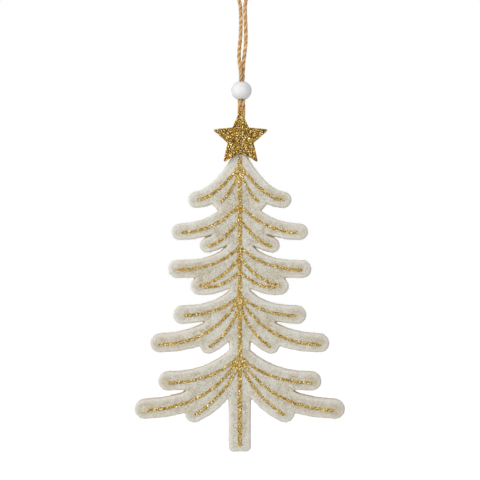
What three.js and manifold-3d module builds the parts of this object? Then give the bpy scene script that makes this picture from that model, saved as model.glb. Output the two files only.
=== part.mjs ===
// A flat felt Christmas tree that hangs on a twine loop, with a glitter star and a wooden bead.
// Millimetres, +Z up, the decorated side faces -Y. The origin is where the loop rests on its hook.
import * as THREE from 'three';
import { mergeVertices } from 'three/addons/utils/BufferGeometryUtils.js';
import Module from 'manifold-3d';

const wasm = await Module();
wasm.setup();

// Driving sizes
const TREE_WIDTH = 102;
const TREE_HEIGHT = 144;
const FELT_THICKNESS = 2.5;
const BOARD_THICKNESS = 2.5;
const STAR_RADIUS = 13.9;
const STAR_THICKNESS = 2;
const BEAD_WIDTH = 10;
const BEAD_HEIGHT = 8.4;
const TWINE_WIDTH = 1.6;

// Heights of the hung pieces, measured down from the hook
const HOOK_TO_BEAD = 53.1;
const BEAD_TO_STAR = 23.7;
const STAR_TO_TREE_TOP = 7.1;
const STAR_LEFT_OF_TWINE = 0.4;
const TREE_LEFT_OF_TWINE = 0.8;

// Space between pieces that pass or turn in one another
const CLEARANCE = 0.3;
// How far a cutting block reaches past what it cuts
const OVERRUN = 2;

const BEAD_Z = -HOOK_TO_BEAD;
const STAR_Z = BEAD_Z - BEAD_TO_STAR;
const TREE_TOP = STAR_Z - STAR_TO_TREE_TOP;
const TREE_FOOT = TREE_TOP - TREE_HEIGHT;
const BOARD_FACE = BOARD_THICKNESS / 2;
const FELT_FACE = BOARD_FACE + FELT_THICKNESS;

const ornament = new THREE.Group();

// Colour, roughness and metalness of each material
const finishes = {
  felt: new THREE.MeshStandardMaterial({ color: 0xd0cabd, roughness: 0.95, metalness: 0 }),
  board: new THREE.MeshStandardMaterial({ color: 0x9a7448, roughness: 0.85, metalness: 0 }),
  glitter: new THREE.MeshStandardMaterial({ color: 0xc09a48, roughness: 0.35, metalness: 0.7 }),
  glue: new THREE.MeshStandardMaterial({ color: 0xe6dfc8, roughness: 0.3, metalness: 0 }),
  twine: new THREE.MeshStandardMaterial({ color: 0xc6a478, roughness: 0.9, metalness: 0 }),
  bead: new THREE.MeshStandardMaterial({ color: 0xefefee, roughness: 0.45, metalness: 0 }),
};

function addPiece(name, geometry, finish) {
  const mesh = new THREE.Mesh(geometry, finish);
  mesh.name = name;
  ornament.add(mesh);
}

// A closed geometry as a solid that can be joined and cut
function solid(geometry) {
  const bare = geometry.clone();
  bare.deleteAttribute('normal');
  bare.deleteAttribute('uv');
  const merged = mergeVertices(bare);
  return new wasm.Manifold(new wasm.Mesh({
    numProp: 3,
    vertProperties: new Float32Array(merged.attributes.position.array),
    triVerts: new Uint32Array(merged.index.array),
  }));
}

function geometryOf(body) {
  const mesh = body.getMesh();
  const geometry = new THREE.BufferGeometry();
  geometry.setAttribute('position', new THREE.BufferAttribute(mesh.vertProperties, mesh.numProp));
  geometry.setIndex(new THREE.BufferAttribute(mesh.triVerts, 1));
  return geometry;
}

// A flat shape as a plate from the plane y = back to its front, which lies nearer the viewer
function plate(shape, back, thickness) {
  const geometry = new THREE.ExtrudeGeometry(shape, { depth: thickness, bevelEnabled: false });
  return geometry.rotateX(Math.PI / 2).translate(0, back, 0);
}

function block(width, depth, height, x, y, z) {
  return solid(new THREE.BoxGeometry(width, depth, height).translate(x, y, z));
}

// The tree is a trunk and thirteen pairs of drooping branches in five tiers. A branch is a stroke
// along a curve from the trunk's middle to its tip. Reaches are shares of half the tree's width,
// heights are shares of its height above the foot, and widths are shares of the branch width.
const BRANCH_WIDTH = 9;
const BRANCH_STEPS = 6;
const TIP_STEPS = 6;
const tierShares = [
  [
    { root: 0.967, bend: [0.205, 0.852], tip: [0.413, 0.846], width: [1.10, 0.87] },
    { root: 0.952, bend: [0.119, 0.864], tip: [0.176, 0.838], width: [0.97, 0.90] },
  ],
  [
    { root: 0.833, bend: [0.222, 0.739], tip: [0.569, 0.738], width: [1.03, 0.88] },
    { root: 0.777, bend: [0.119, 0.710], tip: [0.307, 0.693], width: [0.97, 0.82] },
  ],
  [
    { root: 0.692, bend: [0.175, 0.606], tip: [0.594, 0.613], width: [1.00, 0.96] },
    { root: 0.650, bend: [0.166, 0.576], tip: [0.378, 0.556], width: [0.97, 0.98] },
    { root: 0.594, bend: [0.161, 0.550], tip: [0.331, 0.554], width: [0.55, 0.91] },
  ],
  [
    { root: 0.546, bend: [0.162, 0.460], tip: [0.543, 0.459], width: [0.76, 0.99] },
    { root: 0.502, bend: [0.251, 0.364], tip: [0.761, 0.364], width: [1.13, 1.00] },
    { root: 0.475, bend: [0.123, 0.382], tip: [0.296, 0.358], width: [0.83, 0.96] },
  ],
  [
    { root: 0.323, bend: [0.290, 0.230], tip: [0.685, 0.236], width: [1.10, 1.01] },
    { root: 0.314, bend: [0.298, 0.145], tip: [0.906, 0.142], width: [1.13, 1.04] },
    { root: 0.300, bend: [0.143, 0.174], tip: [0.431, 0.130], width: [0.88, 1.05] },
  ],
];
// Half widths of the trunk at heights from its foot to the flat top of the tree
const trunkShares = [
  [0.104, 0], [0.099, 0.371], [0.094, 0.911], [0.112, 0.963], [0.091, 0.979], [0.073, 0.990],
  [0.061, 1],
];
const FOOT_CORNER = 2.4;

function treePoint([reachShare, heightShare], side = 1) {
  const x = -TREE_LEFT_OF_TWINE + side * reachShare * TREE_WIDTH / 2;
  return new THREE.Vector2(x, TREE_FOOT + heightShare * TREE_HEIGHT);
}

// Outline of one stroke: down one side of its curve, round the tip and back up the other side
function strokeShape(curve, rootHalf, tipHalf, tipSteps) {
  const near = [];
  const far = [];
  for (let step = 0; step <= BRANCH_STEPS; step += 1) {
    const share = step / BRANCH_STEPS;
    const point = curve.getPoint(share);
    const along = curve.getTangent(share);
    const across = new THREE.Vector2(-along.y, along.x);
    const half = rootHalf + (tipHalf - rootHalf) * share;
    near.push(point.clone().addScaledVector(across, half));
    far.unshift(point.clone().addScaledVector(across, -half));
  }
  const tip = curve.getPoint(1);
  const heading = curve.getTangent(1).angle();
  const cap = [];
  for (let step = 1; step < tipSteps; step += 1) {
    const turn = heading + Math.PI / 2 - Math.PI * step / tipSteps;
    cap.push(new THREE.Vector2(tip.x + tipHalf * Math.cos(turn), tip.y + tipHalf * Math.sin(turn)));
  }
  return new THREE.Shape([...near, ...cap, ...far]);
}

function strokeCurve(stroke, side) {
  return new THREE.QuadraticBezierCurve(
    treePoint([0, stroke.root], side), treePoint(stroke.bend, side), treePoint(stroke.tip, side));
}

// The trunk with its rounded foot, taken in by the given margin all round
function trunkShape(margin) {
  const right = trunkShares.map((share) => treePoint(share, 1));
  const left = trunkShares.map((share) => treePoint(share, -1));
  const foot = right[0].y + margin;
  const corner = FOOT_CORNER - margin;
  const shape = new THREE.Shape();
  shape.moveTo(left[0].x + margin + corner, foot);
  shape.lineTo(right[0].x - margin - corner, foot);
  shape.quadraticCurveTo(right[0].x - margin, foot, right[0].x - margin, foot + corner);
  right.slice(1, -1).forEach((point) => shape.lineTo(point.x - margin, point.y));
  shape.lineTo(right.at(-1).x - margin, right.at(-1).y - margin);
  shape.lineTo(left.at(-1).x + margin, left.at(-1).y - margin);
  left.slice(1, -1).reverse().forEach((point) => shape.lineTo(point.x + margin, point.y));
  shape.lineTo(left[0].x + margin, foot + corner);
  shape.quadraticCurveTo(left[0].x + margin, foot, left[0].x + margin + corner, foot);
  return shape;
}

// Every outline that together makes the tree, taken in by the margin
function treeShapes(margin) {
  const strokes = tierShares.flat().flatMap((stroke) => [1, -1].map((side) => {
    const [rootHalf, tipHalf] = stroke.width.map((share) => share * BRANCH_WIDTH / 2 - margin);
    return strokeShape(strokeCurve(stroke, side), rootHalf, tipHalf, TIP_STEPS);
  }));
  return [trunkShape(margin), ...strokes];
}

function join(bodies) {
  return bodies.reduce((whole, body) => whole.add(body)).asOriginal();
}

// The stiff board between the two felts stands a little proud of them all round, and its
// open slot at the top takes the two ends of the twine
const BOARD_LIP = 0.25;
const STRAND_SPREAD = 1.95;
const SLOT_WIDTH = STRAND_SPREAD + TWINE_WIDTH + 2 * CLEARANCE;
const SLOT_DEPTH = 14;
const SLOT_FOOT = TREE_TOP - SLOT_DEPTH;

function boardGeometry() {
  const sheet = join(treeShapes(-BOARD_LIP).map((shape) => solid(plate(shape, BOARD_FACE, BOARD_THICKNESS))));
  const slotTop = TREE_TOP + OVERRUN;
  const slot = block(SLOT_WIDTH, BOARD_THICKNESS + 2 * OVERRUN, slotTop - SLOT_FOOT,
    0, 0, (slotTop + SLOT_FOOT) / 2);
  return geometryOf(sheet.subtract(slot));
}
addPiece('core_board', boardGeometry(), finishes.board);

// Thick wool felt on each face of the board, with its outer edge eased all round
const FELT_EASE = 0.6;

function feltGeometry() {
  const padded = join(treeShapes(FELT_EASE).map((shape) => solid(
    new THREE.ExtrudeGeometry(shape, {
      depth: FELT_THICKNESS, bevelThickness: FELT_EASE, bevelSize: FELT_EASE, bevelSegments: 1,
    }).rotateX(Math.PI / 2).translate(0, FELT_EASE - BOARD_FACE, 0))));
  const waste = 2 * FELT_EASE + OVERRUN;
  const middle = (TREE_TOP + TREE_FOOT) / 2;
  const behind = block(TREE_WIDTH + 2 * OVERRUN, waste, TREE_HEIGHT + 2 * OVERRUN,
    -TREE_LEFT_OF_TWINE, waste / 2 - BOARD_FACE, middle);
  return geometryOf(padded.subtract(behind));
}
addPiece('front_felt', feltGeometry(), finishes.felt);
addPiece('back_felt', feltGeometry().translate(TREE_LEFT_OF_TWINE, 0, 0).rotateZ(Math.PI)
  .translate(-TREE_LEFT_OF_TWINE, 0, 0), finishes.felt);

// Raised glitter line work on the front felt: the trunk line, and one vein along each branch.
// It parts at the foot of each tier, and a web of glitter fills each fork.
const GLITTER_THICKNESS = 0.5;
const VEIN_WIDTH = 1.35;
const TRUNK_LINE_WIDTH = 1.9;
const VEIN_TIP_STEPS = 3;
const glitterShares = [
  {
    top: 0.989, foot: 0.834, fork: { top: 0.964, side: 0.928, foot: 0.911, half: 0.052 },
    veins: [
      { root: 0.960, bend: [0.222, 0.853], tip: [0.396, 0.845] },
      { root: 0.935, bend: [0.095, 0.863], tip: [0.171, 0.840] },
    ],
  },
  {
    top: 0.834, foot: 0.697, fork: { top: 0.826, side: 0.810, foot: 0.790, half: 0.034 },
    veins: [
      { root: 0.828, bend: [0.222, 0.740], tip: [0.541, 0.735] },
      { root: 0.782, bend: [0.128, 0.712], tip: [0.290, 0.689] },
    ],
  },
  {
    top: 0.697, foot: 0.530, fork: { top: 0.688, side: 0.672, foot: 0.640, half: 0.032 },
    veins: [
      { root: 0.690, bend: [0.194, 0.613], tip: [0.581, 0.610] },
      { root: 0.653, bend: [0.156, 0.576], tip: [0.376, 0.556] },
      { root: 0.606, bend: [0.147, 0.551], tip: [0.326, 0.552] },
    ],
  },
  {
    top: 0.530, foot: 0.329, fork: { top: 0.521, side: 0.502, foot: 0.465, half: 0.040 },
    veins: [
      { root: 0.524, bend: [0.194, 0.460], tip: [0.520, 0.457] },
      { root: 0.517, bend: [0.241, 0.363], tip: [0.758, 0.359] },
      { root: 0.499, bend: [0.071, 0.401], tip: [0.284, 0.354] },
    ],
  },
  {
    top: 0.329, foot: 0.019, fork: { top: 0.320, side: 0.290, foot: 0.260, half: 0.060 },
    veins: [
      { root: 0.322, bend: [0.241, 0.235], tip: [0.670, 0.231] },
      { root: 0.316, bend: [0.279, 0.150], tip: [0.874, 0.139] },
      { root: 0.304, bend: [0.109, 0.197], tip: [0.419, 0.124] },
    ],
  },
];

function trunkLineShape(topShare, footShare) {
  const half = TRUNK_LINE_WIDTH / 2;
  const top = treePoint([0, topShare]);
  const foot = treePoint([0, footShare]);
  const shape = new THREE.Shape();
  shape.moveTo(foot.x - half, foot.y + CLEARANCE / 2);
  shape.lineTo(foot.x + half, foot.y + CLEARANCE / 2);
  shape.lineTo(top.x + half, top.y - CLEARANCE / 2);
  shape.lineTo(top.x - half, top.y - CLEARANCE / 2);
  return shape;
}

// The web of glitter in a fork: a kite, widest where the veins have left the trunk line
function forkShape(fork) {
  return new THREE.Shape([
    treePoint([0, fork.foot]), treePoint([fork.half, fork.side]),
    treePoint([0, fork.top]), treePoint([fork.half, fork.side], -1),
  ]);
}

glitterShares.forEach((tier, index) => {
  const veins = tier.veins.flatMap((vein) => [1, -1].map(
    (side) => strokeShape(strokeCurve(vein, side), VEIN_WIDTH / 2, VEIN_WIDTH / 2, VEIN_TIP_STEPS)));
  const shapes = [trunkLineShape(tier.top, tier.foot), forkShape(tier.fork), ...veins];
  const lines = join(shapes.map((shape) => solid(plate(shape, -FELT_FACE, GLITTER_THICKNESS))));
  addPiece(`glitter_tier_${index + 1}`, geometryOf(lines), finishes.glitter);
});

// A five-pointed star of board with a coat of glitter, glued over the top corners of the tree
const STAR_INNER_SHARE = 0.475;
const STAR_TIP_ROUND = 0.8;
const STAR_POINTS = 5;
const STAR_COAT = 0.6;
const STAR_COAT_EASE = 0.3;

function starShape(margin) {
  const corners = [];
  for (let step = 0; step < 2 * STAR_POINTS; step += 1) {
    const turn = Math.PI / 2 + Math.PI * step / STAR_POINTS;
    const radius = (step % 2 ? STAR_INNER_SHARE : 1) * STAR_RADIUS - margin;
    corners.push(new THREE.Vector2(
      -STAR_LEFT_OF_TWINE + radius * Math.cos(turn), STAR_Z + radius * Math.sin(turn)));
  }
  const shape = new THREE.Shape();
  corners.forEach((corner, step) => {
    const before = corners.at(step - 1);
    const after = corners.at((step + 1) % corners.length);
    if (step % 2) {
      shape.lineTo(corner.x, corner.y);
      return;
    }
    const start = corner.clone().addScaledVector(before.clone().sub(corner).normalize(), STAR_TIP_ROUND);
    const end = corner.clone().addScaledVector(after.clone().sub(corner).normalize(), STAR_TIP_ROUND);
    if (step === 0) {
      shape.moveTo(start.x, start.y);
    } else {
      shape.lineTo(start.x, start.y);
    }
    shape.quadraticCurveTo(corner.x, corner.y, end.x, end.y);
  });
  return shape;
}

const starCurveSteps = { curveSegments: 3 };
const STAR_BACK = -FELT_FACE;
const STAR_FRONT = STAR_BACK - STAR_THICKNESS;
const starBase = new THREE.ExtrudeGeometry(
  starShape(STAR_COAT_EASE), { ...starCurveSteps, depth: STAR_THICKNESS, bevelEnabled: false });
addPiece('star_base', starBase.rotateX(Math.PI / 2).translate(0, STAR_BACK, 0), finishes.board);

const coatDepth = STAR_COAT - 2 * STAR_COAT_EASE / 2;
const starCoat = new THREE.ExtrudeGeometry(starShape(STAR_COAT_EASE), {
  ...starCurveSteps,
  depth: coatDepth,
  bevelThickness: STAR_COAT_EASE / 2,
  bevelSize: STAR_COAT_EASE,
  bevelSegments: 1,
});
addPiece('star_glitter', starCoat.rotateX(Math.PI / 2).translate(0, STAR_FRONT - STAR_COAT_EASE / 2, 0),
  finishes.glitter);

// Bead: a squat wooden ball with a bore along Z, its ends cut flat round the bore
const BORE_WIDTH = 3.8;
const RIM_WIDTH = 4.6;
const BEAD_ARC_STEPS = 8;
const BEAD_SIDES = 24;

function beadGeometry() {
  const rim = RIM_WIDTH / 2;
  const belly = BEAD_WIDTH / 2;
  const end = BEAD_HEIGHT / 2;
  const rimTurn = Math.acos(rim / belly);
  const arcHeight = end / Math.sin(rimTurn);
  const profile = [];
  for (let step = 0; step <= BEAD_ARC_STEPS; step += 1) {
    const turn = rimTurn * (2 * step / BEAD_ARC_STEPS - 1);
    profile.push(new THREE.Vector2(belly * Math.cos(turn), arcHeight * Math.sin(turn)));
  }
  profile.push(new THREE.Vector2(BORE_WIDTH / 2, end));
  profile.push(new THREE.Vector2(BORE_WIDTH / 2, -end));
  profile.push(profile[0].clone());
  return new THREE.LatheGeometry(profile, BEAD_SIDES).rotateX(Math.PI / 2).translate(0, 0, BEAD_Z);
}
addPiece('bead', beadGeometry(), finishes.bead);

// The twine is one length, folded at the hook. It is made in three stretches: the free loop
// above the bead, the neck between bead and star, and the two tails glued into the tree.
const TWINE_SIDES = 8;
// The height where the neck bends when the tree tilts, just above the star's tip
const PIVOT_ABOVE_STAR_TIP = 0.5;
const PIVOT_Z = STAR_Z + STAR_RADIUS + PIVOT_ABOVE_STAR_TIP;

function strand(points, steps) {
  const section = new THREE.Shape();
  section.absarc(0, 0, TWINE_WIDTH / 2, 0, 2 * Math.PI);
  const curve = new THREE.CatmullRomCurve3(points.map((point) => new THREE.Vector3(...point)));
  return new THREE.ExtrudeGeometry(section, {
    steps, extrudePath: curve, curveSegments: TWINE_SIDES / 2, bevelEnabled: false,
  });
}

// Route of the loop: up the left strand from the bead, over the hook and down the right strand
const LOOP_ROUTE = [
  [-0.45, -0.86, -52.9], [-0.36, -0.88, -50.5], [-0.30, -0.88, -48.3], [-0.34, -0.86, -46.3],
  [-0.42, -0.81, -44.4], [-0.65, -0.66, -41.5], [-0.98, -0.42, -38.6], [-1.15, -0.20, -35.7],
  [-0.85, 0, -31.4], [-0.55, 0, -28.0], [-0.35, 0, -24.2], [-0.28, 0, -17.9],
  [-0.45, 0, -12.8], [-1.15, 0, -9.4], [-2.40, 0, -6.6], [-3.50, 0, -4.6], [-3.88, 0, -2.6],
  [-3.05, 0, -0.6], [-1.35, 0, 0.55], [0, 0, 0.75], [1.35, 0, 0.55], [3.05, 0, -0.6],
  [3.92, 0, -2.6], [3.65, 0, -4.6], [2.85, 0, -6.9], [2.15, 0, -9.4], [1.75, 0, -12.8],
  [1.90, 0, -17.9], [2.10, 0, -24.2], [2.12, 0, -28.0], [1.95, 0, -31.4], [1.48, 0.20, -35.7],
  [1.12, 0.42, -38.6], [0.88, 0.66, -41.5], [0.72, 0.81, -44.4], [0.66, 0.86, -46.3],
  [0.62, 0.88, -48.3], [0.55, 0.88, -50.5], [0.45, 0.86, -52.9],
];
const LOOP_STEPS = 50;
addPiece('twine_loop', strand(LOOP_ROUTE, LOOP_STEPS), finishes.twine);

// The neck's two strands turn from front and back to side by side on their way to the star
const NECK_TOP = BEAD_Z - CLEARANCE / 2;
const NECK_FOOT = PIVOT_Z + TWINE_WIDTH / 2 + CLEARANCE;
const NECK_TURN = 62;
const NECK_STEPS = 6;

function neckStrand(side) {
  const points = [];
  for (let step = 0; step <= NECK_STEPS; step += 1) {
    const share = step / NECK_STEPS;
    const turn = THREE.MathUtils.degToRad(NECK_TURN * (1 - share));
    const reach = side * STRAND_SPREAD / 2;
    points.push([reach * Math.cos(turn), reach * Math.sin(turn), NECK_TOP + (NECK_FOOT - NECK_TOP) * share]);
  }
  return strand(points, NECK_STEPS);
}
addPiece('twine_neck_left', neckStrand(-1), finishes.twine);
addPiece('twine_neck_right', neckStrand(1), finishes.twine);

// Each tail has a round top, centred on the pivot, and runs straight down behind the star
const TAIL_FOOT_ABOVE_SLOT = 2.8;
const TAIL_FOOT = SLOT_FOOT + TAIL_FOOT_ABOVE_SLOT;
const DOME_STEPS = 4;

function tailStrand(side) {
  const radius = TWINE_WIDTH / 2;
  const profile = [new THREE.Vector2(0, TAIL_FOOT), new THREE.Vector2(radius, TAIL_FOOT)];
  for (let step = 0; step < DOME_STEPS; step += 1) {
    const turn = Math.PI / 2 * step / DOME_STEPS;
    profile.push(new THREE.Vector2(radius * Math.cos(turn), PIVOT_Z + radius * Math.sin(turn)));
  }
  profile.push(new THREE.Vector2(0, PIVOT_Z + radius));
  return new THREE.LatheGeometry(profile, TWINE_SIDES).rotateX(Math.PI / 2)
    .translate(side * STRAND_SPREAD / 2, 0, 0);
}
addPiece('twine_tail_left', tailStrand(-1), finishes.twine);
addPiece('twine_tail_right', tailStrand(1), finishes.twine);

// A drop of glue in the foot of the slot holds the tails
const SLOT_GLUE_HEIGHT = TAIL_FOOT_ABOVE_SLOT - 2 * CLEARANCE;
const slotGlue = new THREE.BoxGeometry(SLOT_WIDTH - 2 * CLEARANCE, BOARD_THICKNESS, SLOT_GLUE_HEIGHT);
addPiece('slot_glue', slotGlue.translate(0, 0, SLOT_FOOT + CLEARANCE + SLOT_GLUE_HEIGHT / 2), finishes.glue);

// A flattened drop of glue behind the star reaches back to the two tails
const GLUE_RADIUS = 5.6;
const GLUE_SIDES = 20;
const GLUE_REACH = -TWINE_WIDTH / 2 - CLEARANCE - STAR_BACK;
const gluePadShares = [[0, 0], [1, 0], [0.97, 0.35], [0.84, 0.75], [0.58, 1], [0, 1]];
const gluePad = new THREE.LatheGeometry(
  gluePadShares.map(([across, deep]) => new THREE.Vector2(across * GLUE_RADIUS, deep * GLUE_REACH)), GLUE_SIDES);
addPiece('star_glue_pad', gluePad.translate(-STAR_LEFT_OF_TWINE, STAR_BACK, STAR_Z), finishes.glue);

export default ornament;
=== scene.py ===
"""A felt Christmas tree ornament with glitter veins, a glitter star and a beaded twine loop."""
import math
import random

import bmesh
import bpy
from mathutils import Euler, Matrix, Vector, bvhtree, kdtree, noise
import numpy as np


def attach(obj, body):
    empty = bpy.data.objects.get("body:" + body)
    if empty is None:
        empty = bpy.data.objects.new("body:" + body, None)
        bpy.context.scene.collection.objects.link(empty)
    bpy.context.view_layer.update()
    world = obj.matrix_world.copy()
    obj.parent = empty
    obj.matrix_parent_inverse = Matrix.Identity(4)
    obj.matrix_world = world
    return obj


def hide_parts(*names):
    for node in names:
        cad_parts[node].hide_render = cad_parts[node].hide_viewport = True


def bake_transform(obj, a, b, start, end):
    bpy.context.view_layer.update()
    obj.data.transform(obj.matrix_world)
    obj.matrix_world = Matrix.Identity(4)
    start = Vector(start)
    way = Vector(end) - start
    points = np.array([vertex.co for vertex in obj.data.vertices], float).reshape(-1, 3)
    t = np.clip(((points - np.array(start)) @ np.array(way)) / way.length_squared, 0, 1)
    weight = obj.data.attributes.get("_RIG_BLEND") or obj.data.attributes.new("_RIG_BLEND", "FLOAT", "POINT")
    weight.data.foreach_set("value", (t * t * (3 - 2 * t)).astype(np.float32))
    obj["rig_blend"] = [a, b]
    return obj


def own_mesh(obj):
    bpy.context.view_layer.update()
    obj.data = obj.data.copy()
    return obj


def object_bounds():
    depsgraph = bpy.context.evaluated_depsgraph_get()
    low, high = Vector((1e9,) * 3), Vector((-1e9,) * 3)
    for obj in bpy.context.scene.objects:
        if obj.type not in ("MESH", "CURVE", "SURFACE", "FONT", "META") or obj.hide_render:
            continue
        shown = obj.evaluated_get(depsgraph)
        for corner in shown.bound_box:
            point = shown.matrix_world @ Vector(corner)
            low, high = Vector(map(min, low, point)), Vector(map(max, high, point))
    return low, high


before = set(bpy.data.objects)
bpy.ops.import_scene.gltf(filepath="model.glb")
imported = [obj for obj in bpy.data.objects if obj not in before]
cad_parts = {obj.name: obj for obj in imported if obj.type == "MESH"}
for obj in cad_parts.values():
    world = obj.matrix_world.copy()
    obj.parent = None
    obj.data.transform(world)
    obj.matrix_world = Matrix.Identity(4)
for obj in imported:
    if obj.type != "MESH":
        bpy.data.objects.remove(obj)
cad_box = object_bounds()
MM = 0.001

def added(name, data):
    """A new object in the scene."""
    piece = bpy.data.objects.new(name, data)
    bpy.context.scene.collection.objects.link(piece)
    return piece


# The view: the photograph is taken straight on, with the tree's face square to a long lens.
PHOTO_WIDTH = 231.8 * MM
VIEW_DISTANCE = 700 * MM
SENSOR_WIDTH = 36
view_centre = Vector((-0.7 * MM, -3.75 * MM, -125.6 * MM))
camera_data = bpy.data.cameras.new("view")
camera_data.sensor_width = SENSOR_WIDTH
camera_data.lens = SENSOR_WIDTH * VIEW_DISTANCE / PHOTO_WIDTH
camera = added("view", camera_data)
camera.location = view_centre - Vector((0, VIEW_DISTANCE, 0))
camera.rotation_euler = (math.radians(90), 0, 0)
bpy.context.scene.camera = camera


# Core board: a stiff fibreboard tree between the two felts. It is laser-cut, so its edge is
# scorched brown; deep in the notches that edge is also painted lighter, as painted light that lifts
# the shade there. It shows as a thin line in the notches and is tucked in at the branches' tips.
class Channel:
    """One output of a material's nodes, which can be used in sums like a number."""

    def __init__(self, finish, socket):
        self.finish = finish
        self.socket = socket

    def sum(self, operation, first, second):
        return self.finish.node("ShaderNodeMath", {"operation": operation}, {0: first, 1: second})

    def __add__(self, other):
        return self.sum("ADD", self, other)

    __radd__ = __add__

    def __sub__(self, other):
        return self.sum("SUBTRACT", self, other)

    def __rsub__(self, other):
        return self.sum("SUBTRACT", other, self)

    def __mul__(self, other):
        return self.sum("MULTIPLY", self, other)

    __rmul__ = __mul__

    def over(self, low, high):
        """0 below low, 1 above high, and even between them."""
        return self.finish.node("ShaderNodeMapRange", {}, {0: self, 1: low, 2: high})


class Finish:
    """A material, or the world, that is built node by node."""

    def __init__(self, name, owner=None):
        self.material = owner or bpy.data.materials.new(name)
        self.material.use_nodes = True
        self.tree = self.material.node_tree
        self.surface = self.tree.nodes.get("Principled BSDF")

    def node(self, kind, settings, inputs, output=0):
        made = self.tree.nodes.new(kind)
        for key, value in settings.items():
            if key == "stops":
                self.stops(made.color_ramp.elements, value)
            else:
                setattr(made, key, value)
        for key, value in inputs.items():
            self.join(value, made.inputs[key])
        return Channel(self, made.outputs[output])

    def stops(self, elements, stops):
        while len(elements) < len(stops):
            elements.new(1)
        for element, (place, colour) in zip(elements, stops):
            element.position = place
            element.color = (*colour, 1)

    def join(self, value, socket):
        if isinstance(value, Channel):
            self.tree.links.new(value.socket, socket)
        elif isinstance(value, tuple) and len(value) == 3 and socket.type == "RGBA":
            socket.default_value = (*value, 1)
        else:
            socket.default_value = value

    def place(self):
        return self.node("ShaderNodeTexCoord", {}, {}, "Object")

    def turned(self, place, turn, stretch):
        return self.node(
            "ShaderNodeMapping", {}, {"Vector": place, "Rotation": turn, "Scale": stretch})

    def grain(self, place, size, detail=2.0):
        """Soft random grain with spots about size across, from 0 to 1."""
        return self.node(
            "ShaderNodeTexNoise", {}, {"Vector": place, "Scale": 1 / size, "Detail": detail})

    def mixed(self, share, first, second):
        return self.node(
            "ShaderNodeMix", {"data_type": "RGBA"}, {0: share, 6: first, 7: second}, output=2)

    def attribute(self, name, output="Fac"):
        return self.node("ShaderNodeAttribute", {"attribute_name": name}, {}, output)

    def bumped(self, height, strength, depth):
        return self.node(
            "ShaderNodeBump", {}, {"Height": height, "Strength": strength, "Distance": depth})

    def set(self, **values):
        for name, value in values.items():
            self.join(value, self.surface.inputs[name.replace("_", " ")])
        return self.material


WELD = 0.001 * MM


def built(name, bm):
    """A new object from a mesh that has been built."""
    mesh = bpy.data.meshes.new(name)
    bm.to_mesh(mesh)
    bm.free()
    return added(name, mesh)


def sheet_copy(node, name, voxel, smoothing, slimming=0):
    """The node's own shape as an even mesh with its facets and hard edges smoothed.
    Its outline is first drawn in by the slimming, so that narrow slits stay open."""
    bm = bmesh.new()
    bm.from_mesh(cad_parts[node].data)
    bmesh.ops.remove_doubles(bm, verts=bm.verts, dist=WELD)
    bm.normal_update()
    for vert in bm.verts:
        vert.co -= Vector((vert.normal.x, 0, vert.normal.z)) * slimming
    piece = built(name, bm)
    remesh = piece.modifiers.new("even", "REMESH")
    remesh.mode = "VOXEL"
    remesh.voxel_size = voxel
    piece.data = finished_mesh(piece)
    piece.modifiers.clear()
    bm = bmesh.new()
    bm.from_mesh(piece.data)
    for _ in range(smoothing):
        bmesh.ops.smooth_vert(
            bm, verts=bm.verts, factor=0.5, use_axis_x=True, use_axis_y=True, use_axis_z=True)
    bm.to_mesh(piece.data)
    bm.free()
    return piece


def finished_mesh(piece):
    """The piece's mesh with its modifiers, or its curve's bevel, made real."""
    bpy.context.view_layer.update()
    depsgraph = bpy.context.evaluated_depsgraph_get()
    return bpy.data.meshes.new_from_object(piece.evaluated_get(depsgraph))


def dress(piece, material, body="tree"):
    piece.data.materials.clear()
    piece.data.materials.append(material)
    for face in piece.data.polygons:
        face.use_smooth = True
    if body:
        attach(piece, body)


BOARD_VOXEL = 0.30 * MM
BOARD_SMOOTHING = 3
BOARD_SLIMMING = 0.46 * MM
BOARD_TUCK = 0.04 * MM
BOARD_SHOW = 0.17 * MM
BOARD_UNDER_SHOW = 0.05 * MM
BOARD_WANDER = 0.08 * MM
BOARD_WANDER_SIZE = 4 * MM
NOTCH_REACH = 4.5 * MM
NOTCH_LEAST = 0.40
NOTCH_RANGE = 0.38
FACE_DEPTH = 0.3 * MM
FACE_SAMPLE = 9
FLAT = 0.9


def mark_notches(bm):
    """How closed in each point of an edge is: 0 at a branch's tip, and 1 deep in a notch."""
    top = max(vert.co.y for vert in bm.verts) - FACE_DEPTH
    face = [vert.co for vert in bm.verts if vert.co.y > top][::FACE_SAMPLE]
    around = kdtree.KDTree(len(face))
    for number, place in enumerate(face):
        around.insert((place.x, 0, place.z), number)
    around.balance()
    area = sum(part.calc_area() for part in bm.faces if part.normal.y > FLAT)
    full = len(face) / area * math.pi * NOTCH_REACH ** 2
    notch = bm.verts.layers.float.new("notch")
    for vert in bm.verts:
        if abs(vert.normal.y) < FLAT:
            share = len(around.find_range((vert.co.x, 0, vert.co.z), NOTCH_REACH)) / full
            vert[notch] = min(1, max(0, (share - NOTCH_LEAST) / NOTCH_RANGE))


def flatten_hidden(bm, faces):
    """A few broad faces in place of the many small ones on a side that is glued out of sight."""
    bmesh.ops.delete(bm, geom=faces, context="FACES")
    for side in (-1, 1):
        rim = [edge for edge in bm.edges if edge.is_boundary and edge.verts[0].co.y * side > 0]
        bmesh.ops.triangle_fill(
            bm, edges=rim, use_beauty=False, use_dissolve=False, normal=(0, side, 0))
    bmesh.ops.recalc_face_normals(bm, faces=bm.faces)
    bm.normal_update()


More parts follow.
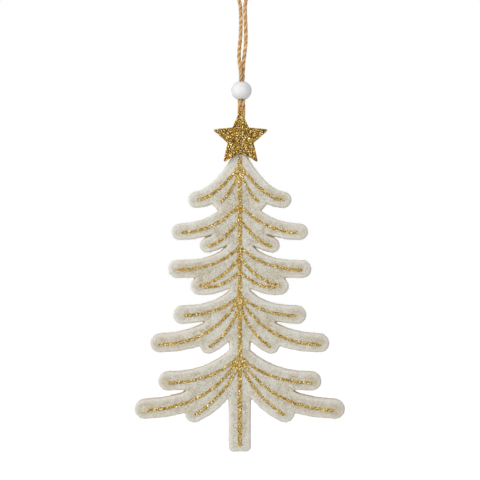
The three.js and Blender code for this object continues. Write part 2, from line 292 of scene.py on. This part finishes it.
def show_in_notches(piece):
    """The board's edge is tucked in at the branches' tips and stands out in the notches."""
    bm = bmesh.new()
    bm.from_mesh(piece.data)
    mark_notches(bm)
    flatten_hidden(bm, [part for part in bm.faces if abs(part.normal.y) > FLAT])
    notch = bm.verts.layers.float["notch"]
    for vert in bm.verts:
        wander = BOARD_WANDER * noise.noise(vert.co / BOARD_WANDER_SIZE)
        out = Vector((vert.normal.x, 0, vert.normal.z))
        show = BOARD_SHOW if out.z > 0 else BOARD_UNDER_SHOW
        vert.co += out * (vert[notch] * (BOARD_TUCK + show) - BOARD_TUCK + wander)
    bm.to_mesh(piece.data)
    bm.free()


def board_finish():
    finish = Finish("scorched board")
    place = finish.place()
    patch = finish.grain(place, 2.5 * MM, 3.0)
    fibre = finish.grain(finish.turned(place, (0, 0, 0), (1, 4, 1)), 0.4 * MM, 4.0)
    tone = finish.mixed(patch.over(0.35, 0.7), (0.68, 0.58, 0.43), (0.54, 0.42, 0.28))
    # Scorch and painted light: deep in the notches the edge turns a warm scorched orange that is also
    # lighter than the board, to lift the shade in the narrow slits.
    scorch_and_lift = (finish.attribute("notch") + patch - 0.5).over(0.1, 0.8)
    tone = finish.mixed(scorch_and_lift, tone, (0.84, 0.58, 0.33))
    return finish.set(
        Base_Color=finish.mixed(fibre.over(0.45, 0.75) * 0.3, tone, (0.48, 0.34, 0.20)),
        Roughness=0.85,
        Normal=finish.bumped(fibre, 0.4, 0.1 * MM),
    )


board = sheet_copy("core_board", "board", BOARD_VOXEL, BOARD_SMOOTHING, BOARD_SLIMMING)
show_in_notches(board)
dress(board, board_finish())
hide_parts("core_board")


# Felts: thick pressed wool felt, cut with the board, one on its face and one on its back.
# The fibres lie every way, the cut edge is soft, a paler rim along it is painted light, and fine hairs stand
# off it.
FELT_VOXEL = 0.34 * MM
FELT_SMOOTHING = 6
FELT_SLIMMING = 0.28 * MM
FELT_SWELL = 0.24 * MM
FELT_EDGE_SWELL = 0.32 * MM
FELT_NOTCH_SWELL = 0.04 * MM
FELT_LUMPS = 0.10 * MM
FELT_LUMP_SIZE = 1.5 * MM
FELT_RIM = 2.4 * MM
FELT_HAIRS = 5200
FELT_HAIR_LENGTH = 1.3 * MM
FELT_HAIR_WIDTH = 0.045 * MM
FELT_HAIR_STAND = 0.7
FELT_RIM_FALL = 1.6
CUT_EDGE = 0.6
HAIR_LENGTHS = (0.5, 1.3)
HAIR_BEND = 0.3
HAIR_TIP = 0.3


def felt_finish():
    finish = Finish("wool felt")
    place = finish.place()
    turned = finish.turned(place, (0.4, 0.9, 0.2), (1, 1, 1))
    fluff = finish.grain(turned, 0.5 * MM, 1.0)
    speck = finish.grain(place, 0.8 * MM, 1.0)
    mottle = finish.grain(place, 2.6 * MM, 2.0)
    cloud = finish.grain(place, 9 * MM, 1.0)
    strands = [
        finish.grain(finish.turned(place, (0, math.radians(turn), 0), (1, 1, 5)), 1.4 * MM, 2.0)
        for turn in (20, 80, 140)
    ]
    tangle = (strands[0] + strands[1] + strands[2]) * (1 / 3)
    tuft = fluff * 1.9 + speck * 1.8 + tangle * 1.4 + mottle * 1.3 + cloud * 0.8 - 3.03
    wool = finish.mixed(tuft.over(0, 1), (0.44, 0.372, 0.240), (0.70, 0.704, 0.655))
    sideways = finish.node("ShaderNodeSeparateXYZ", {}, {0: place})
    height = finish.node("ShaderNodeSeparateXYZ", {}, {0: place}, "Z")
    reach = finish.node("ShaderNodeMath", {"operation": "ABSOLUTE"}, {0: sideways})
    stain = finish.grain(turned, 1.9 * MM, 2.0) * 1.4 + finish.grain(turned, 7 * MM, 2.0) * 1.2
    stain = stain + reach * (0.4 / (45 * MM)) + reach.over(34 * MM, 50 * MM) * 0.6 - 1.15
    wool = finish.mixed(stain.over(0, 1) * 0.35, wool, (0.60, 0.49, 0.30))
    tips = reach.over(16 * MM, 50 * MM) * (1.28 - mottle - speck).over(0, 0.5)
    wool = finish.mixed(tips * 0.68, wool, (0.47, 0.385, 0.27))
    # Painted light: the felt is made paler towards its top, under the star, to lift the shadow the star
    # casts there.
    wool = finish.mixed(height.over(-104 * MM, -84 * MM) * 0.55, wool, (0.84, 0.81, 0.75))
    # Painted light: the felt is made paler near its cut edge, a painted glow that also lifts the shade on
    # the rounded rim.
    rim_glow = finish.mixed(finish.attribute("rim") * 0.8, wool, (0.81, 0.785, 0.715))
    # Deep in the notches the felt is tinted brown.
    deep = finish.attribute("notch").over(0.5, 1.1)
    return finish.set(
        Base_Color=finish.mixed(deep * 0.3, rim_glow, (0.66, 0.50, 0.33)),
        Roughness=0.95,
        Sheen_Weight=0.2,
        Sheen_Roughness=0.5,
        Normal=finish.bumped(tangle + speck * 0.5, 0.7, 0.3 * MM),
    )


def hairs(name, roots, length, width, spread, seed):
    """Fine hairs that leave the surface at a slant and curl over. A root is a place and a normal."""
    draw = random.Random(seed)
    curve = bpy.data.curves.new(name, "CURVE")
    curve.dimensions = "3D"
    curve.bevel_depth = width / 2
    curve.bevel_resolution = 0
    for place, normal in roots:
        lean = Vector([draw.uniform(-1, 1) for _ in range(3)])
        along = (lean + normal * (draw.uniform(0.1, 1) * spread)).normalized()
        reach = length * draw.uniform(*HAIR_LENGTHS)
        bend = Vector([draw.uniform(-1, 1) for _ in range(3)]) * reach * HAIR_BEND
        spline = curve.splines.new("POLY")
        spline.points.add(2)
        spline.points[0].co = (*(place - normal * width), 1)
        spline.points[1].co = (*(place + along * reach * 0.5 + bend * 0.3), 1)
        spline.points[2].co = (*(place + along * reach * 0.9 + bend), 1)
        spline.points[2].radius = HAIR_TIP
    stalk = added(name, curve)
    mesh = finished_mesh(stalk)
    bpy.data.objects.remove(stalk)
    return added(name, mesh)


def rooted_hairs(name, piece, count, length, width, stand, seed):
    """Hairs that grow from vertices of the piece, chosen at random."""
    verts = piece.data.vertices
    chosen = random.Random(seed).sample(range(len(verts)), count)
    roots = [(verts[i].co.copy(), verts[i].normal.copy()) for i in chosen]
    return hairs(name, roots, length, width, stand, seed)


def felt(node, name, seed):
    piece = sheet_copy(node, name, FELT_VOXEL, FELT_SMOOTHING, FELT_SLIMMING)
    bm = bmesh.new()
    bm.from_mesh(piece.data)
    mark_notches(bm)
    glued = [part for part in bm.faces if part.normal.y * part.calc_center_median().y < 0
             and abs(part.normal.y) > FLAT]
    flatten_hidden(bm, glued)
    cut_edge = [vert.co for vert in bm.verts if abs(vert.normal.y) < CUT_EDGE]
    nearest = kdtree.KDTree(len(cut_edge))
    for number, place in enumerate(cut_edge):
        nearest.insert(place, number)
    nearest.balance()
    offset = Vector((seed, seed, seed))
    rim = bm.verts.layers.float.new("rim")
    notch = bm.verts.layers.float["notch"]
    for vert in bm.verts:
        inland = nearest.find(vert.co)[2] / FELT_RIM
        vert[rim] = max(0, 1 - inland) ** FELT_RIM_FALL
    for vert in bm.verts:
        lump = noise.noise(vert.co / FELT_LUMP_SIZE + offset)
        flat = abs(vert.normal.y)
        edge = FELT_EDGE_SWELL + (FELT_NOTCH_SWELL - FELT_EDGE_SWELL) * vert[notch]
        swell = FELT_SWELL * flat + edge * (1 - flat)
        vert.co += vert.normal * (swell + FELT_LUMPS * lump)
    bm.to_mesh(piece.data)
    bm.free()
    return piece


FELTS = (("front_felt", "felt_front", 11), ("back_felt", "felt_back", 23))
for felt_node, felt_name, felt_seed in FELTS:
    layer = felt(felt_node, felt_name, felt_seed)
    felt_material = felt_finish()
    dress(layer, felt_material)
    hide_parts(felt_node)
    nap = rooted_hairs(
        felt_name + "_nap", layer, FELT_HAIRS, FELT_HAIR_LENGTH, FELT_HAIR_WIDTH, FELT_HAIR_STAND,
        felt_seed)
    dress(nap, felt_material)


# Glitter veins: fine gold glitter in a raised line of clear binder, printed on the front felt.
# Each grain is a tiny six-sided flake that lies at its own tilt and has its own shade of gold. The
# shades run from near black to near white as painted reflections, of dark surroundings and of lamps.
VEIN_FLAKE = 0.16 * MM
VEIN_FLAKES_PER_MM2 = 22.0
FLAKE_BATCH = 200
FLAKE_SIZES = (0.7, 1.25)
FLAKE_TINTS = (0.9, 1.1)
FACING = 0.95
PATCH_MIDDLE = 0.48
PATCH_SWING = 0.6
PATCH_SCATTER = 0.28
EDGE_DENSITY = 0.5
EDGE_TILT = 0.5
EDGE_FLAKE = 0.6
EDGE_PAINTED_LIGHT = 1.9
EDGE_LEAST = 0.35
# From near black to near white: painted reflections, dark for flakes that would mirror dark surroundings,
# pale for flakes that catch a lamp.
VEIN_GOLDS_AND_GLINTS = (
    (0.06, 0.034, 0.002), (0.17, 0.085, 0.002), (0.32, 0.168, 0.003), (0.43, 0.236, 0.006),
    (0.51, 0.298, 0.014), (0.57, 0.370, 0.040), (0.65, 0.480, 0.130), (0.96, 0.90, 0.66),
)
VEIN_PATCH = 0.5 * MM
VEIN_TILT = math.radians(20)
VEIN_LIFT = 0.12 * MM


def coat_places(node, per_area, size, draw):
    """Random places with their normals on a node's front and, more thinly, on its edges."""
    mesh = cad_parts[node].data
    mesh.calc_loop_triangles()
    triangles = mesh.loop_triangles
    front = bvhtree.BVHTree.FromPolygons(
        [vert.co for vert in mesh.vertices], [triangle.vertices for triangle in triangles])
    for triangle in triangles:
        if triangle.normal.y > 0.5:
            continue
        flat = triangle.normal.y < -0.5
        corners = [mesh.vertices[i].co for i in triangle.vertices]
        wanted = triangle.area * per_area * (1 if flat else EDGE_DENSITY)
        for _ in range(int(wanted) + (draw.random() < wanted % 1)):
            along, across = draw.random(), draw.random()
            if along + across > 1:
                along, across = 1 - along, 1 - across
            place = (corners[0] + (corners[1] - corners[0]) * along
                     + (corners[2] - corners[0]) * across)
            turn = draw.uniform(0, 2 * math.pi)
            beside = place + Vector((math.cos(turn) * size, -size, math.sin(turn) * size))
            if not flat or front.ray_cast(beside, Vector((0, 1, 0)), 2 * size)[0]:
                yield place, triangle.normal


def flakes(name, nodes, size, per_mm2, golds, patch_size, tilt, lift, seed):
    """A coat of six-sided flakes over the front and edges of the nodes, in patches of one gold; the golds
    are painted reflections, and the edge flakes are painted lighter.
    """
    draw = random.Random(seed)
    places = []
    for node in nodes:
        places += coat_places(node, per_mm2 / MM ** 2, size, draw)
    mesh = bpy.data.meshes.new(name)
    whole = bmesh.new()
    for first in range(0, len(places), FLAKE_BATCH):
        batch = bmesh.new()
        shade = batch.verts.layers.float_color.new("flake")
        for place, normal in places[first:first + FLAKE_BATCH]:
            flat = normal.y < -FACING
            turn = normal.to_track_quat("Z", "Y").to_matrix().to_4x4()
            slope = tilt if flat else tilt * EDGE_TILT
            lean = Euler((draw.gauss(0, slope), draw.gauss(0, slope), draw.uniform(0, math.pi)))
            raised = Matrix.Translation(place + normal * draw.uniform(0, lift))
            seat = raised @ turn @ lean.to_matrix().to_4x4()
            radius = size * draw.uniform(*FLAKE_SIZES) * (1 if flat else EDGE_FLAKE)
            made = bmesh.ops.create_circle(
                batch, cap_ends=True, segments=6, radius=radius, matrix=seat)
            patch = PATCH_MIDDLE + PATCH_SWING * noise.noise(place / patch_size)
            patch += draw.gauss(0, PATCH_SCATTER)
            # Painted light: flakes on the edges take at least a middle gold and are made brighter, to lift
            # the shade on the side walls.
            least = 0 if flat else EDGE_LEAST
            gold = golds[min(len(golds) - 1, max(0, int(max(patch, least) * len(golds))))]
            tint = draw.uniform(*FLAKE_TINTS) * (1 if flat else EDGE_PAINTED_LIGHT)
            for vert in made["verts"]:
                vert[shade] = (gold[0] * tint, gold[1] * tint, gold[2] * tint, 1)
        batch.to_mesh(mesh)
        batch.free()
        whole.from_mesh(mesh)
    whole.to_mesh(mesh)
    whole.free()
    return added(name, mesh)


def flake_finish(name, metal, rough):
    finish = Finish(name)
    return finish.set(
        Base_Color=finish.attribute("flake", "Color"),
        Metallic=metal,
        Roughness=rough,
    )


def bed_finish(name, dark, light):
    finish = Finish(name)
    grit = finish.grain(finish.place(), 0.35 * MM, 2.0)
    return finish.set(
        Base_Color=finish.mixed(grit.over(0.35, 0.65), dark, light),
        Roughness=0.6,
        Normal=finish.bumped(grit, 0.6, 0.2 * MM),
    )


def show_bed(nodes, material):
    """The solids under a coat of flakes, which are seen as they are."""
    for node in nodes:
        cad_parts[node].data.materials.clear()
        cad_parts[node].data.materials.append(material)


vein_nodes = [f"glitter_tier_{tier}" for tier in range(1, 6)]
show_bed(vein_nodes, bed_finish("vein binder", (0.38, 0.26, 0.08), (0.55, 0.45, 0.26)))
veins = flakes(
    "vein_flakes", vein_nodes, VEIN_FLAKE, VEIN_FLAKES_PER_MM2, VEIN_GOLDS_AND_GLINTS, VEIN_PATCH,
    VEIN_TILT, VEIN_LIFT, 5)
dress(veins, flake_finish("vein glitter", 0.85, 0.35))


# Star: stiff board cut to a five-pointed star, coated on its face and edges with coarse gold
# glitter, and glued over the top corners of the tree.
STAR_FLAKE = 0.25 * MM
STAR_FLAKES_PER_MM2 = 13.0
STAR_PATCH = 0.4 * MM
STAR_TILT = math.radians(24)
STAR_LIFT = 0.2 * MM
# From near black to near white: painted reflections, dark for flakes that would mirror dark surroundings,
# pale for flakes that catch a lamp.
STAR_GOLDS_AND_GLINTS = (
    (0.02, 0.008, 0.0005), (0.07, 0.031, 0.001), (0.16, 0.078, 0.003), (0.24, 0.123, 0.007),
    (0.32, 0.172, 0.013), (0.40, 0.224, 0.024), (0.48, 0.284, 0.044), (0.57, 0.355, 0.080),
    (0.66, 0.440, 0.125), (0.98, 0.87, 0.50),
)
star_nodes = ["star_glitter", "star_base"]
show_bed(star_nodes, bed_finish("star binder", (0.05, 0.022, 0.002), (0.28, 0.155, 0.02)))
star = flakes(
    "star_flakes", star_nodes, STAR_FLAKE, STAR_FLAKES_PER_MM2, STAR_GOLDS_AND_GLINTS, STAR_PATCH,
    STAR_TILT, STAR_LIFT, 8)
dress(star, flake_finish("star glitter", 0.9, 0.3))


# Hot glue: a flattened drop behind the star that holds it to the twine, and a drop in the foot
# of the board's slot that holds the twine's two ends.
GLUE_VOXEL = 0.3 * MM
GLUE_SMOOTHING = 8


def glue_finish():
    finish = Finish("hot glue")
    haze = finish.grain(finish.place(), 1.8 * MM, 2.0)
    return finish.set(
        Base_Color=finish.mixed(haze.over(0.3, 0.7), (0.72, 0.66, 0.50), (0.84, 0.80, 0.68)),
        Roughness=0.22,
        Subsurface_Weight=0.3,
        Subsurface_Radius=(0.002, 0.0018, 0.001),
        Coat_Weight=0.2,
        Normal=finish.bumped(haze, 0.25, 0.3 * MM),
    )


glue_material = glue_finish()
for node, name in (("star_glue_pad", "glue_pad"), ("slot_glue", "glue_drop")):
    drop = sheet_copy(node, name, GLUE_VOXEL, GLUE_SMOOTHING)
    dress(drop, glue_material)
    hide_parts(node)


# Twine: two-ply jute, one length folded over the hook. Its two ends are glued into the board's
# slot. The strands run up behind the star, side by side, and bend just above the star's tip.
PLY_OFFSET = 0.42 * MM
PLY_THICK = 0.49 * MM
PLY_BROAD = 0.74 * MM
LOOP_LAY = 6.4 * MM
NECK_LAY = 13 * MM
TUBE_STEP = 0.22 * MM
TUBE_SIDES = 12
STRAND_SPREAD = 1.8 * MM
LAY_WANDER = 0.7
LAY_WANDER_SIZE = 4 * MM
RIDGE_TURNS = 2.2
RIDGE_LENGTH = 1.3 * MM
RIDGE_HEIGHT = 0.16
FIBRE_TURNS = 2.4
FIBRE_STRETCH = 0.32
ROUTE_STEPS = 24
PAIR_STEPS = 8
TWINE_HAIR_LENGTH = 1.5 * MM
TWINE_HAIR_WIDTH = 0.05 * MM
TWINE_HAIR_STAND = 0.6
STAR_GIRTH = 1.06
BEAD_GIRTH = 0.82
PRESSED_REACH = 1.75 * MM
PRESSED_KEEP = 0.12
BEAD_Z = -53.1 * MM
PIVOT_Z = -62.4 * MM
NECK_END = PIVOT_Z + 1.5 * MM
TAIL_FOOT = -95.1 * MM
TWINE_GOLDS = ((0.96, 0.71, 0.38), (0.78, 0.46, 0.145), (0.38, 0.155, 0.02))


def smooth_route(points, spacing):
    """Evenly spaced points on a smooth curve through the given ones."""
    knots = [Vector(point) for point in points]
    ends = [knots[0] * 2 - knots[1], *knots, knots[-1] * 2 - knots[-2]]
    fine = []
    for a, b, c, d in zip(ends, ends[1:], ends[2:], ends[3:]):
        for step in range(ROUTE_STEPS):
            t = step / ROUTE_STEPS
            fine.append(0.5 * (2 * b + (c - a) * t + (2 * a - 5 * b + 4 * c - d) * t ** 2
                               + (3 * b - a - 3 * c + d) * t ** 3))
    fine.append(knots[-1])
    lengths = [0]
    for before, after in zip(fine, fine[1:]):
        lengths.append(lengths[-1] + (after - before).length)
    count = max(4, round(lengths[-1] / spacing))
    even = []
    place = 0
    for step in range(count + 1):
        target = lengths[-1] * step / count
        while place < len(fine) - 2 and lengths[place + 1] < target:
            place += 1
        share = (target - lengths[place]) / (lengths[place + 1] - lengths[place])
        even.append(fine[place].lerp(fine[place + 1], share))
    return even


def ply_tube(bm, route, phase, start, lay, girth, seed):
    """One ply of the twine, wound round the route: a grid rolled up into a tube."""
    offset = Vector((seed * 3.1, seed * 1.7, 0))
    steps = len(route) - 1
    made = bmesh.ops.create_grid(bm, x_segments=steps, y_segments=TUBE_SIDES, size=0.5)
    fibre = bm.verts.layers.float_vector["fibre"]
    crease = bm.verts.layers.float["crease"]
    side = Vector((0, -1, 0))
    rings = []
    travel = start
    for index, centre in enumerate(route):
        ahead = (route[min(index + 1, steps)] - route[max(index - 1, 0)]).normalized()
        side = (side - ahead * side.dot(ahead)).normalized()
        cross = ahead.cross(side)
        if index:
            travel += (centre - route[index - 1]).length
        wander = LAY_WANDER * noise.noise(Vector((travel / LAY_WANDER_SIZE, 0.5, 0.5)))
        turn = phase + 2 * math.pi * travel / lay + wander
        out = side * math.cos(turn) + cross * math.sin(turn)
        round_way = cross * math.cos(turn) - side * math.sin(turn)
        wide = girth[0] + (girth[1] - girth[0]) * min(1, 2 * index / steps)
        rings.append((centre, out * wide, round_way * wide, travel))
    for vert in made["verts"]:
        centre, out, round_way, travel = rings[round((vert.co.x + 0.5) * steps)]
        angle = 2 * math.pi * (vert.co.y + 0.5)
        ring_place = Vector((math.cos(angle), math.sin(angle), 0))
        lengthwise = Vector((0, 0, travel / RIDGE_LENGTH))
        fat = 1 + RIDGE_HEIGHT * noise.noise(ring_place * RIDGE_TURNS + lengthwise + offset)
        vert.co = (centre + out * (PLY_OFFSET + PLY_THICK * fat * ring_place.x)
                   + round_way * (PLY_BROAD * fat * ring_place.y))
        stretched = Vector((0, 0, FIBRE_STRETCH * travel / MM))
        vert[fibre] = ring_place * FIBRE_TURNS + stretched + offset
        # Painted shade: the side of each ply that faces the other ply is marked, to be painted darker and
        # browner where the plies press together.
        vert[crease] = min(1, max(0, 0.15 - ring_place.x) * 1.5)
    bmesh.ops.remove_doubles(bm, verts=made["verts"], dist=WELD)


def twine(name, routes, starts, lay, girth, seed):
    """Strands of two-ply twine as one mesh, each along its own route."""
    bm = bmesh.new()
    bm.verts.layers.float_vector.new("fibre")
    bm.verts.layers.float.new("crease")
    for number, (route, start) in enumerate(zip(routes, starts)):
        for ply in range(2):
            ply_tube(bm, route, math.pi * ply, start, lay, girth, seed + number * 2 + ply)
    bmesh.ops.holes_fill(bm, edges=bm.edges, sides=0)
    bmesh.ops.recalc_face_normals(bm, faces=bm.faces)
    return built(name, bm)


def twine_finish():
    finish = Finish("jute twine")
    strand = finish.attribute("fibre", "Vector")
    fibre = finish.grain(strand, 1.0, 3.0)
    fine = finish.grain(strand, 0.4, 3.0)
    blotch = finish.grain(finish.place(), 1.8 * MM, 2.0)
    light, middle, dark = TWINE_GOLDS
    tone = finish.mixed(blotch.over(0.35, 0.65), light, middle)
    tone = finish.mixed(fibre.over(0.46, 0.56) * 0.95, tone, dark)
    tone = finish.mixed(fine.over(0.53, 0.63) * 0.9, tone, (0.96, 0.80, 0.54))
    # Painted shade in the creases between the plies.
    tone = finish.mixed(finish.attribute("crease") * 0.8, tone, (0.52, 0.235, 0.04))
    return finish.set(
        Base_Color=tone,
        Roughness=0.9,
        Normal=finish.bumped(fibre + fine, 0.9, 0.15 * MM),
    )


def twine_hairs(name, piece, count, seed):
    return rooted_hairs(
        name, piece, count, TWINE_HAIR_LENGTH, TWINE_HAIR_WIDTH, TWINE_HAIR_STAND, seed)


def pair_routes(top, foot, turn_top, turn_foot):
    """The left and right strand between two heights, with the pair's turn at each."""
    routes = []
    for side in (-1, 1):
        points = []
        for step in range(PAIR_STEPS + 1):
            share = step / PAIR_STEPS
            turn = math.radians(turn_top + (turn_foot - turn_top) * share)
            reach = side * STRAND_SPREAD / 2
            height = top + (foot - top) * share
            points.append((reach * math.cos(turn), reach * math.sin(turn), height))
        routes.append(smooth_route(points, TUBE_STEP))
    return routes


def press_close(piece):
    """Hairs lie close to the strands where the bead slides over them."""
    for vert in piece.data.vertices:
        away = Vector((vert.co.x, vert.co.y, 0))
        past = away.length - PRESSED_REACH
        if past > 0:
            vert.co -= away.normalized() * (past * (1 - PRESSED_KEEP))


NECK_TURN = 62
twine_material = twine_finish()
tails = twine(
    "twine_tails", pair_routes(NECK_END, TAIL_FOOT, 0, 0), (BEAD_Z - NECK_END,) * 2,
    NECK_LAY, (STAR_GIRTH, STAR_GIRTH), 31)
tail_hairs = twine_hairs("twine_tail_hairs", tails, 110, 7)
for piece in (tails, tail_hairs):
    dress(piece, twine_material, None)
    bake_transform(piece, "neck", "tree", (0, 0, PIVOT_Z + 1.2 * MM), (0, 0, PIVOT_Z - 1.6 * MM))
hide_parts("twine_tail_left", "twine_tail_right")

neck = twine(
    "twine_neck", pair_routes(BEAD_Z, NECK_END, NECK_TURN, 0), (0, 0),
    NECK_LAY, (BEAD_GIRTH, STAR_GIRTH), 31)
neck_hairs = twine_hairs("twine_neck_hairs", neck, 60, 9)
press_close(neck_hairs)
for piece in (neck, neck_hairs):
    dress(piece, twine_material, None)
    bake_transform(piece, "hanger", "neck", (0, 0, BEAD_Z - 1.5 * MM), (0, 0, NECK_END + 0.3 * MM))
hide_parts("twine_neck_left", "twine_neck_right")

# Loop: the free stretch of the same twine, from the bead up over the hook and back. The
# photograph shows it to 13 mm under its crown, which closes outside the view.
LOOP_ROUTE = [Vector(point) * MM for point in (
    (-0.45, -0.86, -53.5), (-0.36, -0.88, -50.5), (-0.30, -0.88, -48.3), (-0.34, -0.86, -46.3),
    (-0.42, -0.81, -44.4), (-0.65, -0.66, -41.5), (-0.98, -0.42, -38.6), (-1.15, -0.20, -35.7),
    (-0.85, 0, -31.4), (-0.55, 0, -28.0), (-0.35, 0, -24.2), (-0.28, 0, -17.9),
    (-0.45, 0, -12.8), (-1.15, 0, -9.4), (-2.40, 0, -6.6), (-3.50, 0, -4.6), (-3.88, 0, -2.6),
    (-3.05, 0, -0.6), (-1.35, 0, 0.55), (0, 0, 0.75), (1.35, 0, 0.55), (3.05, 0, -0.6),
    (3.92, 0, -2.6), (3.65, 0, -4.6), (2.85, 0, -6.9), (2.15, 0, -9.4), (1.75, 0, -12.8),
    (1.90, 0, -17.9), (2.10, 0, -24.2), (2.12, 0, -28.0), (1.95, 0, -31.4), (1.48, 0.20, -35.7),
    (1.12, 0.42, -38.6), (0.88, 0.66, -41.5), (0.72, 0.81, -44.4), (0.66, 0.86, -46.3),
    (0.62, 0.88, -48.3), (0.55, 0.88, -50.5), (0.45, 0.86, -53.5),
)]
loop_path = smooth_route(LOOP_ROUTE, TUBE_STEP)
loop = twine("twine_hanging_loop", [loop_path], [0], LOOP_LAY, (1, 1), 41)
dress(loop, twine_material, "hanger")
loop_hairs = twine_hairs("twine_loop_hairs", loop, 420, 3)
dress(loop_hairs, twine_material, "hanger")
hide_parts("twine_loop")


# Bead: a squat wooden ball, turned, drilled along its axis and dipped in satin white paint.
# It is threaded on both strands and slides on them.
BEAD_WIDTH = 10 * MM
BEAD_HEIGHT = 8.4 * MM
BORE_WIDTH = 4.1 * MM
RIM_WIDTH = 4.5 * MM
BEAD_SIDES = 72
BEAD_STEPS = 24
BORE_FLARE = 0.15 * MM
BORE_SINK = 0.02 * MM
BORE_EASE = 0.2 * MM
BEAD_WOBBLE = 0.04 * MM
BEAD_WOBBLE_SIZE = 3 * MM


def bead_piece():
    bm = bmesh.new()
    belly = BEAD_WIDTH / 2
    end = BEAD_HEIGHT / 2
    rim_turn = math.acos(RIM_WIDTH / 2 / belly)
    arc_height = end / math.sin(rim_turn)
    profile = []
    for step in range(BEAD_STEPS + 1):
        turn = rim_turn * (2 * step / BEAD_STEPS - 1)
        profile.append((belly * math.cos(turn), arc_height * math.sin(turn)))
    bore = BORE_WIDTH / 2
    profile += [(bore + BORE_FLARE, end - BORE_SINK), (bore, end - BORE_EASE)]
    profile += [(bore, 0), (bore, BORE_EASE - end), (bore + BORE_FLARE, BORE_SINK - end)]
    verts = [bm.verts.new((across, 0, BEAD_Z + up)) for across, up in profile]
    edges = [bm.edges.new((a, b)) for a, b in zip(verts, verts[1:] + verts[:1])]
    bmesh.ops.spin(
        bm, geom=verts + edges, cent=(0, 0, 0), axis=(0, 0, 1), angle=2 * math.pi,
        steps=BEAD_SIDES, use_merge=True)
    bmesh.ops.remove_doubles(bm, verts=bm.verts, dist=WELD)
    bmesh.ops.recalc_face_normals(bm, faces=bm.faces)
    hollow = bm.verts.layers.float.new("bore")
    for vert in bm.verts:
        inside = math.hypot(vert.co.x, vert.co.y) < bore + 0.1 * MM
        vert[hollow] = 1.0 if inside else 0.0
        vert.co += vert.normal * (BEAD_WOBBLE * noise.noise(vert.co / BEAD_WOBBLE_SIZE))
    return built("bead_ball", bm)


def bead_finish():
    finish = Finish("white bead paint")
    place = finish.place()
    streak = finish.grain(finish.turned(place, (0, 0, 0), (1, 1, 0.25)), 0.7 * MM, 3.0)
    patch = finish.grain(place, 2.5 * MM, 2.0)
    white = finish.mixed(patch.over(0.3, 0.7), (0.79, 0.79, 0.795), (0.84, 0.84, 0.84))
    white = finish.mixed(streak.over(0.55, 0.75) * 0.2, white, (0.66, 0.655, 0.64))
    return finish.set(
        Base_Color=finish.mixed(finish.attribute("bore"), white, (0.40, 0.29, 0.18)),
        Roughness=streak * 0.12 + 0.46,
        Normal=finish.bumped(streak, 0.12, 0.1 * MM),
    )


bead = bead_piece()
dress(bead, bead_finish(), "bead")
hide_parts("bead")
for piece in (loop, loop_hairs):
    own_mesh(piece)


# Light and ground: a white studio with a large soft lamp at the upper left, and a pale floor
# well below the hung tree. Both show as plain white behind the ornament.
WORLD_LIGHT = 0.46
FLOOR_DROP = 140 * MM
FLOOR_SIZE = 6
FLOOR_GLOW = 0.62
TREE_MIDDLE = (0, 0, -0.14)


def seen_directly(finish):
    """1 for a ray from the camera, a reflection or a see-through piece, otherwise 0."""
    rays = finish.node("ShaderNodeLightPath", {}, {}, "Is Camera Ray")
    glossy = finish.node("ShaderNodeLightPath", {}, {}, "Is Glossy Ray")
    through = finish.node("ShaderNodeLightPath", {}, {}, "Is Transmission Ray")
    either = finish.node("ShaderNodeMath", {"operation": "MAXIMUM"}, {0: rays, 1: glossy})
    return finish.node("ShaderNodeMath", {"operation": "MAXIMUM"}, {0: either, 1: through})


def studio_world():
    bpy.context.scene.world = bpy.data.worlds.new("studio")
    finish = Finish("studio", bpy.context.scene.world)
    light = finish.node("ShaderNodeBackground", {}, {"Color": (1, 1, 1), "Strength": WORLD_LIGHT})
    white = finish.node("ShaderNodeBackground", {}, {"Color": (1, 1, 1), "Strength": 1.0})
    shown = finish.node("ShaderNodeMixShader", {}, {0: seen_directly(finish), 1: light, 2: white})
    finish.tree.links.new(shown.socket, finish.tree.nodes["World Output"].inputs["Surface"])


def lamp(name, place, target, size, power):
    data = bpy.data.lights.new(name, "AREA")
    data.shape = "DISK"
    data.size = size
    data.energy = power
    made = added(name, data)
    made.location = place
    made.rotation_euler = (Vector(target) - Vector(place)).to_track_quat("-Z", "Y").to_euler()


def floor():
    bm = bmesh.new()
    bmesh.ops.create_grid(bm, x_segments=2, y_segments=2, size=FLOOR_SIZE / 2)
    ground = built("floor", bm)
    ground.location.z = cad_box[0].z - FLOOR_DROP
    finish = Finish("pale floor")
    glow = finish.node("ShaderNodeEmission", {}, {"Color": (1, 1, 1), "Strength": FLOOR_GLOW})
    plain = Channel(finish, finish.surface.outputs[0])
    finish.set(Base_Color=(0.86, 0.86, 0.86), Roughness=0.9)
    both = finish.node("ShaderNodeAddShader", {}, {0: plain, 1: glow})
    shown = finish.node("ShaderNodeMixShader", {}, {0: seen_directly(finish), 1: plain, 2: both})
    finish.tree.links.new(shown.socket, finish.tree.nodes["Material Output"].inputs["Surface"])
    ground.data.materials.append(finish.material)


studio_world()
lamp("key", place=(-0.68, -0.92, 0.40), target=TREE_MIDDLE, size=1.3, power=9.8)
lamp("fill", place=(0.30, -1.1, -0.10), target=TREE_MIDDLE, size=0.9, power=1.0)
floor()

bpy.context.scene.view_settings.view_transform = "Standard"
